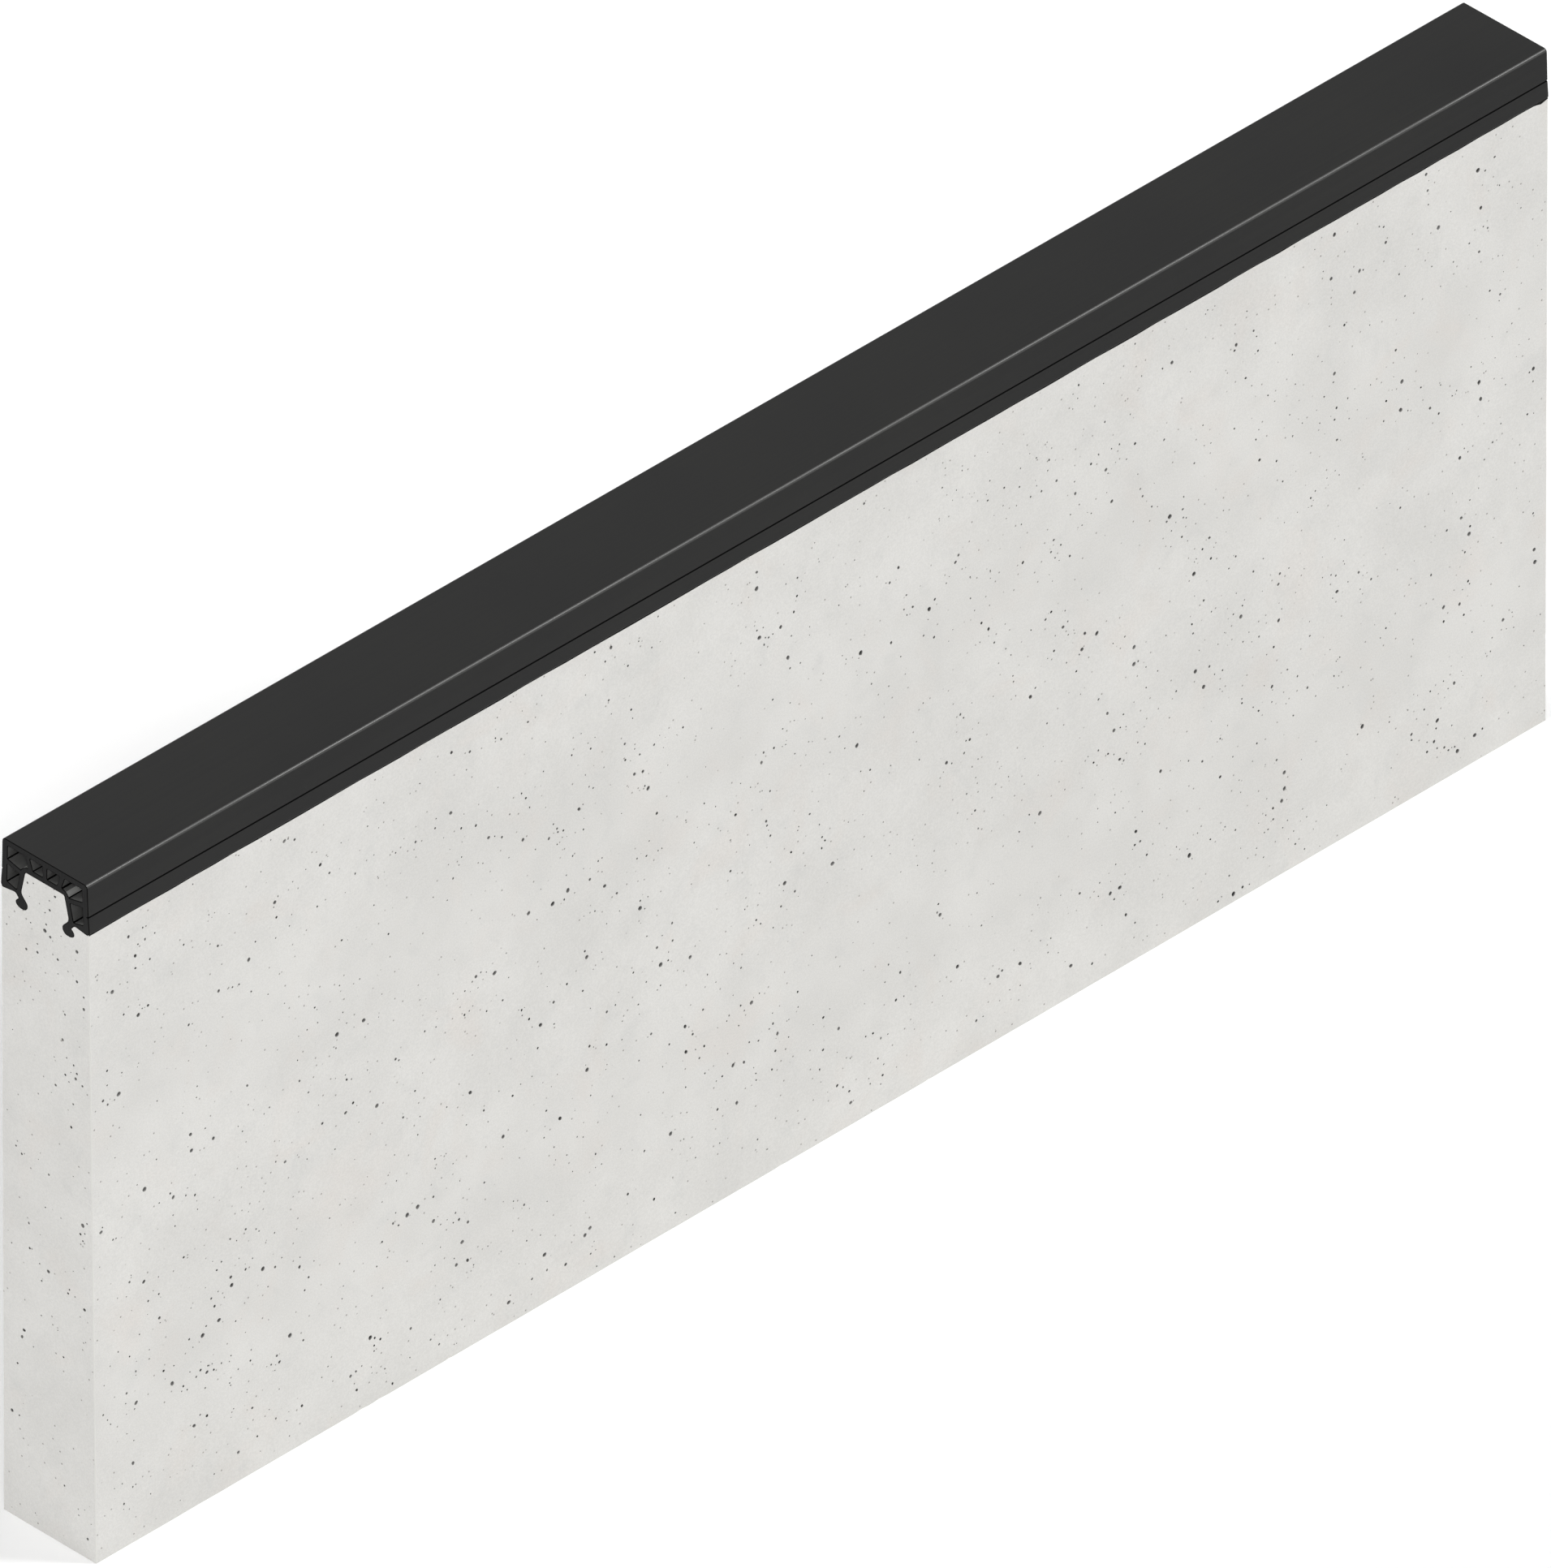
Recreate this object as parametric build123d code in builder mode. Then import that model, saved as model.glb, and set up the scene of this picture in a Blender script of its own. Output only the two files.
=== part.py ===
"""A precast concrete kerb with a cushioned rubber edge, as set around long-jump pits and sports grounds.

Two pieces, both of one section from end to end:
  concrete_body  an upright slab on edge, a little thinner at the top, with a raised core
  rubber_cap     a chambered rubber extrusion that the concrete was poured into, held by two keyed legs

Frame: millimetres, origin at the middle of the bedding face, +X along the kerb, +Z up.
Sections are drawn on the YZ plane, so that a section's first coordinate is Y and its second is Z.
Each section is drawn for the +Y half and mirrored.
"""

import os
from math import cos, radians, tan

from build123d import *

# ---------------------------------------------------------------- driving sizes
# The whole kerb
unit_length = 1000.0
unit_height = 400.0  # bedding face to the top of the cap
base_width = 64.0  # concrete at the bedding face
head_width = 60.0  # concrete under the cap, narrower so that it comes out of its mould

# The cap's outer sides
lip_drop = 29.2  # top of the cap down to the point of its lip
lip_proud = 0.55  # the lip's point stands out past the face of the concrete
lip_radius = 1.75
crease_drop = 18.35  # top of the cap down to the crease along each side
crease_set_in = 0.35  # crease behind the face of the concrete
top_set_in = 0.95  # top edge behind the face of the concrete
top_edge_radius = 2.0
lip_underside_rise = 1.48  # the lip's underside climbs this much on its way in to the leg

# The legs that key the cap into the concrete, each ending in a lopsided bulb
leg_inset = 14.0  # face of the concrete in to the axis of a leg
foot_depth = 6.5  # the point of the lip down to the bottom of the bulb
foot_width = 7.8
foot_flat_inner = 2.05  # flat bottom of the bulb, from the leg's axis towards the core
foot_flat_outer = 1.75  # and from the leg's axis towards the face
heel_height = 1.85  # slope on the core side, bottom of the bulb up to its side
heel_top = 4.3  # top of the bulb's side on the core side
toe_height = 1.45  # slope on the face side, bottom of the bulb up to its side
toe_top = 3.2  # top of the bulb's side on the face side
neck_height = 5.2  # the notch that the concrete grips, above the bottom of the bulb
neck_out = 1.85  # leg's axis out to the notch
bulb_radii = (1.6, 1.8, 4.0, 3.0, 2.8, 2.4)  # from the notch round the bottom to the core side
shoulder_out = 4.1  # leg's axis out to the corner under the lip
shoulder_radius = 2.5  # where the lip's underside turns down into the leg
neck_radius = 0.7

# The concrete core between the legs
core_drop = 12.85  # top of the cap down to the top of the core
core_top_in = 2.6  # top corner of the core, in from the leg's axis
core_waist_out = 0.6  # widest point of the core, out from the leg's axis
core_waist_height = 8.95  # widest point of the core, above the bottom of the bulb
core_corner_radius = 1.5
core_waist_radius = 4.0

# The walls and webs around the six chambers
top_skin = 3.5  # over all the chambers
side_wall_top = 3.6  # outside the shoulder chamber, from the cap's top edge inwards
side_wall_foot = 3.85  # outside the flank chamber, from the face of the concrete inwards
core_wall = 2.9  # over the core and down both sides of it
core_wall_radius = 5.4  # where that wall turns down, in the shoulder chamber
centre_rib = 3.0
crown_web = 3.05  # between a crown chamber and a shoulder chamber
crown_web_in = 4.65  # its foot, in from the top corner of the core
crown_web_lean = 19.5  # degrees from upright, outwards
flank_web = 2.95  # between a shoulder chamber and a flank chamber
flank_web_drop = 2.6  # its foot, below the top corner of the core
flank_web_climb = 13.0  # degrees from level, rising outwards
sill_height = 4.75  # point of the lip up to the outer end of the flank chamber's floor
sill_climb = 15.0  # degrees from level, rising outwards
chamber_radius = 0.6

# ---------------------------------------------------------------- levels and distances that follow
half_length = unit_length / 2
face_y = head_width / 2
leg_y = face_y - leg_inset
core_top_y = leg_y - core_top_in
core_waist_y = leg_y + core_waist_out

lip_z = unit_height - lip_drop
shoulder_z = lip_z + lip_underside_rise
foot_z = lip_z - foot_depth
core_top_z = unit_height - core_drop
core_waist_z = foot_z + core_waist_height
core_side_slope = (core_waist_y - core_top_y) / (core_top_z - core_waist_z)


# ---------------------------------------------------------------- the cap's outline, with no chambers
# From the middle of the top, round the side, the lip and the leg, to the middle of the core's top.
outline = [
    ((0, unit_height), None),
    ((face_y - top_set_in, unit_height), top_edge_radius),
    ((face_y - crease_set_in, unit_height - crease_drop), 0),
    ((face_y + lip_proud, lip_z), lip_radius),
    ((leg_y + shoulder_out, shoulder_z), shoulder_radius),
    ((leg_y + neck_out, foot_z + neck_height), neck_radius),
    ((leg_y + foot_width / 2, foot_z + toe_top), bulb_radii[0]),
    ((leg_y + foot_width / 2, foot_z + toe_height), bulb_radii[1]),
    ((leg_y + foot_flat_outer, foot_z), bulb_radii[2]),
    ((leg_y - foot_flat_inner, foot_z), bulb_radii[3]),
    ((leg_y - foot_width / 2, foot_z + heel_height), bulb_radii[4]),
    ((leg_y - foot_width / 2, foot_z + heel_top), bulb_radii[5]),
    ((core_waist_y, core_waist_z), core_waist_radius),
    ((core_top_y, core_top_z), core_corner_radius),
    ((0, core_top_z), None),
]
outline_points = [point for point, _ in outline]
outline_radii = [radius for _, radius in outline[1:-1]]

with BuildSketch(Plane.YZ) as cap_outline:
    with BuildLine():
        FilletPolyline(*outline_points, radius=outline_radii)
        Line(outline_points[-1], outline_points[0])
    make_face()
    mirror(about=Plane.YZ)


# ---------------------------------------------------------------- the chambers
# The core with its wall: the chambers stop where this shape begins.
with BuildSketch(Plane.YZ) as walled_core:
    with BuildLine():
        Polyline(
            (0, foot_z),
            (core_waist_y + core_side_slope * (core_waist_z - foot_z), foot_z),
            (core_top_y, core_top_z),
            (0, core_top_z),
            close=True,
        )
    make_face()
    offset(amount=core_wall, kind=Kind.INTERSECTION)
    fillet(walled_core.vertices().group_by(Axis.Y)[-1].sort_by(Axis.X)[-1], radius=core_wall_radius)

ceiling_z = unit_height - top_skin
sill_z = lip_z + sill_height
sill_y = face_y - side_wall_foot
sill_fall = (sill_y - leg_y) * tan(radians(sill_climb))

with BuildSketch(Plane.YZ) as chambers:
    # The room inside the skin and the side wall, out from the centre rib.
    with BuildLine():
        Polyline(
            (centre_rib / 2, ceiling_z),
            (face_y - top_set_in - side_wall_top, ceiling_z),
            (sill_y, sill_z),
            (leg_y, sill_z - sill_fall),
            (centre_rib / 2, sill_z - sill_fall),
            close=True,
        )
    make_face()
    add(walled_core.sketch_local, mode=Mode.SUBTRACT)
    # The web that parts the crown chamber from the shoulder chamber.
    with Locations((core_top_y - crown_web_in, core_top_z)):
        Rectangle(
            core_drop / cos(radians(crown_web_lean)),
            crown_web,
            rotation=90 - crown_web_lean,
            align=(Align.MIN, Align.CENTER),
            mode=Mode.SUBTRACT,
        )
    # The web that parts the shoulder chamber from the flank chamber.
    with Locations((core_top_y, core_top_z - flank_web_drop)):
        Rectangle(
            (face_y - core_top_y) / cos(radians(flank_web_climb)),
            flank_web,
            rotation=flank_web_climb,
            align=(Align.MIN, Align.CENTER),
            mode=Mode.SUBTRACT,
        )
    # Shrinking and growing again rounds each corner.
    offset(amount=-chamber_radius, kind=Kind.INTERSECTION, mode=Mode.REPLACE)
    offset(amount=chamber_radius, kind=Kind.ARC, mode=Mode.REPLACE)
    mirror(about=Plane.YZ)


# ---------------------------------------------------------------- rubber cap
with BuildPart() as rubber_cap:
    extrude(cap_outline.sketch, amount=half_length, both=True)
    extrude(chambers.sketch, amount=half_length, both=True, mode=Mode.SUBTRACT)


# ---------------------------------------------------------------- concrete body
# Poured around the cap in its mould, so the two meet face to face with no gap.
with BuildSketch(Plane.YZ) as concrete_section:
    with BuildLine():
        Polyline(
            (-base_width / 2, 0),
            (base_width / 2, 0),
            (face_y, shoulder_z),
            (-face_y, shoulder_z),
            close=True,
        )
    make_face()
    with Locations((0, shoulder_z)):
        Rectangle(2 * core_waist_y, core_top_z - shoulder_z, align=(Align.CENTER, Align.MIN))
    add(cap_outline.sketch_local, mode=Mode.SUBTRACT)

with BuildPart() as concrete_body:
    extrude(concrete_section.sketch, amount=half_length, both=True)


# ---------------------------------------------------------------- files
rubber_cap.part.label = "rubber_cap"
concrete_body.part.label = "concrete_body"

os.makedirs("parts", exist_ok=True)
export_step(rubber_cap.part, "parts/rubber_cap.step")
export_step(concrete_body.part, "parts/concrete_body.step")

for piece in (rubber_cap.part, concrete_body.part):
    size = piece.bounding_box().size
    print(
        f"{piece.label}: {len(piece.solids())} solid, {piece.volume / 1e3:.1f} cm3,"
        f" {size.X:.2f} x {size.Y:.2f} x {size.Z:.2f} mm"
    )
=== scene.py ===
# %% [markdown]
# # A precast kerb with a cushioned rubber edge
#
# The real thing is one metre of thin concrete that stands on edge, with a hollow black rubber profile
# cast into its top. It is set around long-jump pits and sports grounds, where feet and knees meet the
# edge. The measured frame of the kerb is loaded first and never moved. Each step after that adds one
# shape or one finish, and every size is in metres unless it says millimetres.

# %% Load the frame
import math

import bmesh
import bpy
import numpy as np
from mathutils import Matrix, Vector
from mathutils.geometry import delaunay_2d_cdt


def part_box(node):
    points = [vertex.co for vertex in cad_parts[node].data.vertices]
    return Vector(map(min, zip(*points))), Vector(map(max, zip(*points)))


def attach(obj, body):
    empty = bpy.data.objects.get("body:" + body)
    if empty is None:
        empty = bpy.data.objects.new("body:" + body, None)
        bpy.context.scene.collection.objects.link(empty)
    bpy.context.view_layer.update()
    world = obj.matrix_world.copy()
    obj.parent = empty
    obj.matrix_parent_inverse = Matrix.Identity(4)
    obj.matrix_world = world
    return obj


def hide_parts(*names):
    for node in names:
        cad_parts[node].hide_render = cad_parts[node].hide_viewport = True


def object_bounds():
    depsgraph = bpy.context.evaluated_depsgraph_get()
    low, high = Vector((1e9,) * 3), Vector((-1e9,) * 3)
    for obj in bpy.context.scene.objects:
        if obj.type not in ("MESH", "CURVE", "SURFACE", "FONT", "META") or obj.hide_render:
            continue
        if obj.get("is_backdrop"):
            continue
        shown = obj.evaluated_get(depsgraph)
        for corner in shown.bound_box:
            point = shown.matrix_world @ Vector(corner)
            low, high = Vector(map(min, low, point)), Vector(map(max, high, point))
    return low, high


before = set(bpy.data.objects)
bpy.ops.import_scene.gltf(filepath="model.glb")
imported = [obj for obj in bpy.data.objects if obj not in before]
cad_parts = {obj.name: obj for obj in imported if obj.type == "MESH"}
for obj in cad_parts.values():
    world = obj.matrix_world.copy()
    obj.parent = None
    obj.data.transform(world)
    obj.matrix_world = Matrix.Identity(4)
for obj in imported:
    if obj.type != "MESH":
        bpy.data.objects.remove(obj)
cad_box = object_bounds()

mm = 0.001
body_low, body_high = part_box("concrete_body")
cap_low, cap_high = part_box("rubber_cap")
half_length = body_high.x
kerb_size = [round(v / mm, 1) for v in cad_box[1] - cad_box[0]]
print(f"kerb {kerb_size} mm, cap from {cap_low.z / mm:.1f} mm up")

# %% [markdown]
# ## The camera
#
# The kerb is drawn the way a maker's data sheet shows it: the three axes make equal angles with the line
# of sight, so that length, height and thickness are all shortened alike. An orthographic camera would do
# that exactly, but a very long lens from far away comes within one percent of it, and it still frames the
# whole kerb when the camera is moved round to another side.

# %% Camera
picture_height = 0.7622  # what the picture takes in at the middle of the kerb
lens_length = 1500  # millimetres, in front of Blender's 36 mm sensor
view_reach = 200  # how far away the camera still sees anything
off_centre = (2.8 * mm, 3.5 * mm)  # the kerb stands this far right of and above the picture's middle

to_camera = Vector((-1, -1, 1)).normalized()
picture_right = Vector((1, -1, 0)).normalized()
picture_up = to_camera.cross(picture_right)
lens = bpy.data.cameras.new("long_lens")
lens.lens = lens_length
lens.clip_end = view_reach
camera = bpy.data.objects.new("camera", lens)
bpy.context.scene.collection.objects.link(camera)
bpy.context.scene.camera = camera

aim = (cad_box[0] + cad_box[1]) / 2 - picture_right * off_centre[0] - picture_up * off_centre[1]
camera_distance = picture_height * lens.lens / lens.sensor_width
camera.location = aim + to_camera * camera_distance
camera.rotation_mode = "QUATERNION"
camera.rotation_quaternion = (-to_camera).to_track_quat("-Z", "Y")
print(f"camera {camera_distance:.1f} m away, picture {picture_height / mm:.0f} mm high at the kerb")

# %% [markdown]
# ## Colours and nodes
#
# Paint charts and screens give a colour as sRGB hex, and Blender's sockets want linear light, so one
# function turns the first into the second. A second function adds a node, sets what it is told to and
# makes its links, which keeps every material below down to one line for each node.


# %% Colour and node helpers
def colour(hex_code):
    """An sRGB hex colour as the linear RGBA that Blender's sockets take."""
    shares = [int(hex_code[i : i + 2], 16) / 255 for i in (1, 3, 5)]
    return (*[s / 12.92 if s <= 0.04045 else ((s + 0.055) / 1.055) ** 2.4 for s in shares], 1)


def add(tree, kind, inputs, **settings):
    """Adds a node. inputs maps a socket, by name or number, to a value or to another node's socket."""
    node = tree.nodes.new("ShaderNode" + kind)
    for name, value in settings.items():
        setattr(node, name, value)
    for socket, value in inputs.items():
        if isinstance(value, bpy.types.NodeSocket):
            tree.links.new(value, node.inputs[socket])
        else:
            node.inputs[socket].default_value = value
    return node


def per(size_mm):
    """The scale that gives a noise or a cell pattern features of this size."""
    return 1 / (size_mm * mm)


mid_grey = "#808080"
print("mid grey in linear light:", round(colour(mid_grey)[0], 3))

# %% [markdown]
# ## The studio
#
# A plain white sweep with broad soft lamps, as for a catalogue picture. Lamps far away light all of a
# long thing alike, so each is a sun with a wide disc, which also gives it the soft shadow of a large
# panel. The key stands in front on the right, the side lamp keeps the end face nearly as light as the long
# face, the fill lamp reaches into the hollow rubber, and the back lamp keeps the far side from going dull.
# Strength 1 brings a white card that faces the lamp to white.
#
# Black rubber shows every lamp as glare. A studio takes that off with polarising filters and then lets one
# lamp through. Here the four lamps leave no glare, and the edge lamp gives nothing but glare: it stands
# high up, where only the rounded top edge of the rubber mirrors it, as one bright line.


# %% Lamps
def soft_lamp(name, towards, strength, disc_degrees, glare=False):
    """Adds a sun that shines from a direction, and gives either plain light or glare."""
    lamp = bpy.data.lights.new(name, "SUN")
    lamp.energy = strength * math.pi
    lamp.angle = math.radians(disc_degrees)
    holder = bpy.data.objects.new(name, lamp)
    holder.rotation_mode = "QUATERNION"
    holder.rotation_quaternion = Vector(towards).to_track_quat("Z", "Y")
    holder.visible_glossy, holder.visible_diffuse = glare, not glare
    bpy.context.scene.collection.objects.link(holder)


# Each lamp's name, where it stands as seen from the kerb, its strength, and its width in degrees.
soft_lamp("key_lamp", (1, -1, 1), 0.75, 15)
soft_lamp("fill_lamp", (-1, -1, 1), 0.3, 15)
soft_lamp("side_lamp", (-0.9, -0.1, 0.4), 0.24, 25)
soft_lamp("back_lamp", (-0.3, 0.9, 0.35), 0.55, 25)
soft_lamp("edge_lamp", (1, -0.73, 1.21), 0.45, 12, glare=True)

# %% Sky and floor
sky_light, sky_seen = 0.35, 1.0  # the sky lights the kerb softly, and the camera sees it as pure white
sky = bpy.data.worlds.new("white_sweep")
sky.use_nodes = True
sky.node_tree.nodes.clear()
seen = add(sky.node_tree, "LightPath", {})
strength = add(
    sky.node_tree,
    "MapRange",
    {"Value": seen.outputs["Is Camera Ray"], "To Min": sky_light, "To Max": sky_seen},
)
glow = add(sky.node_tree, "Background", {"Color": (1, 1, 1, 1), "Strength": strength.outputs[0]})
add(sky.node_tree, "OutputWorld", {"Surface": glow.outputs[0]})
bpy.context.scene.world = sky
bpy.context.scene.view_settings.view_transform = "Standard"

floor_reach = 40  # from the middle to each side, so that its edges are out of sight
floor_mesh = bpy.data.meshes.new("floor")
floor_mesh.from_pydata(
    [(x * floor_reach, y * floor_reach, body_low.z) for x, y in ((-1, -1), (1, -1), (1, 1), (-1, 1))],
    [],
    [(0, 1, 2, 3)],
)
floor = bpy.data.objects.new("floor", floor_mesh)
bpy.context.scene.collection.objects.link(floor)
paper = bpy.data.materials.new("matt white paper")
paper.use_nodes = True
paper.node_tree.nodes.clear()
matt = add(paper.node_tree, "BsdfDiffuse", {"Color": colour("#F8F8F8")})
add(paper.node_tree, "OutputMaterial", {"Surface": matt.outputs[0]})
floor_mesh.materials.append(paper)
floor.visible_glossy = False  # or the white sheet would show as a grey veil on the black rubber
floor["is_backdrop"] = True
print("a white sky and a floor", 2 * floor_reach, "m wide")

# %% [markdown]
# ## Reading the section
#
# Both pieces have one section from end to end, so everything starts from its outline. It could be typed
# in again, but then it would drift from the frame. Instead it is read off the frame's own end face: the
# edges between the end and the sides, chained into closed outlines, with the material always on the left.


# %% End outlines
weld = 0.001 * mm


def end_outlines(node):
    """The closed outlines of a piece's +X end as arrays of (y, z), the widest first."""
    shape = bmesh.new()
    shape.from_mesh(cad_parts[node].data)
    bmesh.ops.remove_doubles(shape, verts=shape.verts, dist=weld)
    end_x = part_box(node)[1].x
    end_faces = {f for f in shape.faces if all(abs(v.co.x - end_x) < weld for v in f.verts)}
    after = {}
    for face in end_faces:
        for corner in face.loops:
            if not end_faces.issuperset(corner.edge.link_faces):
                after[corner.vert] = corner.link_loop_next.vert
    outlines = []
    while after:
        vert = next(iter(after))
        chain = []
        while vert in after:
            chain.append((vert.co.y, vert.co.z))
            vert = after.pop(vert)
        outlines.append(np.array(chain))
    shape.free()
    return sorted(outlines, key=lambda rows: -np.ptp(rows[:, 0]))


def unit(rows):
    """Each row at length one."""
    return rows / np.linalg.norm(rows, axis=-1, keepdims=True)


def inward(outline):
    """At each point of a closed outline, the step that moves both its sides one metre into the material."""
    before = unit(outline - np.roll(outline, 1, axis=0))
    after = np.roll(before, -1, axis=0)
    left = np.stack([-before[:, 1] - after[:, 1], before[:, 0] + after[:, 0]], axis=1)
    return left / (1 + np.sum(before * after, axis=1, keepdims=True))


body_section = end_outlines("concrete_body")[0]
cap_section, *chambers = end_outlines("rubber_cap")
print(f"{len(body_section)} points round the concrete and {len(cap_section)} round the cap")
print(f"{len(chambers)} chambers")

# %% [markdown]
# ## A shell to gather points and faces
#
# Both pieces are built up strip by strip. This small class keeps the points, the faces and two notes for
# each face: which finish it wears, and how far it belongs to an air hole or a worn edge. The notes become
# attributes of the mesh, which a material can read, so that colour and shape always agree.


# %% Shell
class Shell:
    """The points and faces of one piece while it is being built."""

    def __init__(self):
        self.points, self.faces, self.notes = [], [], []

    def keep(self, rows):
        """Adds points and returns their numbers."""
        first = len(self.points)
        self.points += [tuple(float(v) for v in row) for row in rows]
        return np.arange(first, len(self.points))

    def face(self, corners, finish="plain", amount=0.0):
        self.faces.append([int(i) for i in corners])
        self.notes.append((finish, amount))

    def bridge(self, one, two, finish="plain"):
        """Quads between two rows of points, all of one finish or with a list of finishes."""
        finishes = [finish] * (len(one) - 1) if isinstance(finish, str) else finish
        for i, quad_finish in enumerate(finishes):
            self.face((one[i], one[i + 1], two[i + 1], two[i]), quad_finish, 1.0)

    def to_object(self, name, smooth):
        """The finished piece. Faces of the finishes in smooth are shaded round, and the rest flat."""
        mesh = bpy.data.meshes.new(name)
        mesh.from_pydata(self.points, [], self.faces)
        shape = bmesh.new()
        shape.from_mesh(mesh)
        bmesh.ops.recalc_face_normals(shape, faces=shape.faces)
        shape.to_mesh(mesh)
        open_edges = sum(not edge.is_manifold for edge in shape.edges)
        shape.free()
        mesh.polygons.foreach_set("use_smooth", [finish in smooth for finish, _ in self.notes])
        for kind in sorted({finish for finish, _ in self.notes} - {"plain"}):
            amounts = [amount if finish == kind else 0.0 for finish, amount in self.notes]
            mesh.attributes.new(kind, "FLOAT", "FACE").data.foreach_set("value", amounts)
        made = bpy.data.objects.new(name, mesh)
        bpy.context.scene.collection.objects.link(made)
        print(f"{name}: {len(mesh.vertices)} points, {len(mesh.polygons)} faces, {open_edges} open edges")
        return made


print("a new shell has", len(Shell().faces), "faces")

# %% [markdown]
# ## Air holes in a cast face
#
# When concrete is poured against a steel mould, air gets caught against the steel and leaves small
# rounded holes: a few of 2 to 3 mm, more of 1 to 2 mm, and very many of 1 mm and less. They are what
# tells cast concrete from painted board, so they are real holes in the mesh and not only dark spots. The
# finest real ones are pin pricks, and the ones here stop at 0.6 mm, which is as coarse as they need to be
# to show. A dense grid that could hold them would need millions of faces on a face this long. A
# constrained Delaunay triangulation instead puts points only where a hole's rings are, and joins them to
# the edge of the face with flat triangles. Holes come in clusters, so nearly half of them are placed
# beside a larger one.

# %% Air hole sizes
hole_kinds = (
    # radius range in mm, holes per square decimetre, points round the rim
    ((0.90, 1.40), 5.2, 12),
    ((0.55, 0.85), 12.0, 9),
    ((0.30, 0.55), 25.0, 6),
)
hole_rings = ((1.0, 0.0), (0.76, 0.62), (0.42, 1.0))  # share of the radius, share of the depth
hole_depth = 0.6  # share of the radius
hole_wobble = 0.07  # how far the rim of a hole leaves its oval, as a share of the radius
hole_squeeze = (0.75, 1.0)  # how much narrower than long a hole is
# The next two tones set how dark each hole is painted: partly dirt, partly painted shade for the little light
# a hole lets out.
hole_tones = (0.75, 0.97)  # how dark a hole's floor is
rim_tone = 0.8  # how dark the sloping rim of a large hole is, where its floor is 1
hole_gap = 0.8 * mm  # concrete left between two holes
rim_gap = 2.2 * mm  # and between a hole and the edge of its face
cluster_reach = 9 * mm
clustered = 0.45  # share of the holes that lie beside another one
square_decimetre = 0.01
print("hole kinds in mm:", [kind[0] for kind in hole_kinds])


# %% Scattering air holes
def inside(spots, loop):
    """Which spots are inside a closed loop: those with an odd number of its sides to their right."""
    a, b = loop, np.roll(loop, -1, axis=0)
    x, y = spots[:, :1], spots[:, 1:]
    spans = (a[:, 1] > y) != (b[:, 1] > y)
    rise = np.where(a[:, 1] == b[:, 1], 1, b[:, 1] - a[:, 1])
    crossing = a[:, 0] + (y - a[:, 1]) * (b[:, 0] - a[:, 0]) / rise
    return np.sum(spans & (x < crossing), axis=1) % 2 == 1


def scatter_holes(loop, rng):
    """(x, y, radius, rim points) for each air hole on a flat face inside a loop, the largest first."""
    low, high = loop.min(axis=0), loop.max(axis=0)
    area = np.prod(high - low) / square_decimetre
    kept = np.zeros((0, 3))
    holes = []
    for (smallest, largest), density, points in hole_kinds:
        tries = rng.poisson(density * area)
        spots = rng.uniform(low, high, (tries, 2))
        near = rng.random(tries) < clustered
        if len(kept):
            hosts = kept[rng.integers(len(kept), size=tries), :2]
            spots = np.where(near[:, None], hosts + rng.normal(0, cluster_reach, (tries, 2)), spots)
        radii = rng.uniform(smallest, largest, tries) * mm
        for spot, radius, fits in zip(spots, radii, inside(spots, loop)):
            clear_of_rim = np.min(np.linalg.norm(loop - spot, axis=1)) > rim_gap + radius
            clear = np.all(np.linalg.norm(kept[:, :2] - spot, axis=1) > kept[:, 2] + radius + hole_gap)
            if fits and clear_of_rim and clear:
                kept = np.vstack([kept, (*spot, radius)])
                holes.append((*spot, radius, points))
    return holes


trial_square = np.array([(0, 0), (1, 0), (1, 1), (0, 1)]) * 100 * mm
trial_holes = scatter_holes(trial_square, np.random.default_rng(0))
print("a trial square of 100 mm gets", len(trial_holes), "air holes")

# %% [markdown]
# ## Filling a flat face
#
# One function fills any flat face of the casting. It takes the numbered points round the face, lays them
# flat, adds the rings of each air hole, triangulates the lot, and then pushes the inner rings below the
# surface. Without holes it is just a clean way to fill an outline of any shape.


# %% Flat face with holes
INSIDE_ONLY = 1  # the triangulation's word for keeping nothing outside the rim
same_spot = 1e-6  # millimetres between points that count as one


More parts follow.
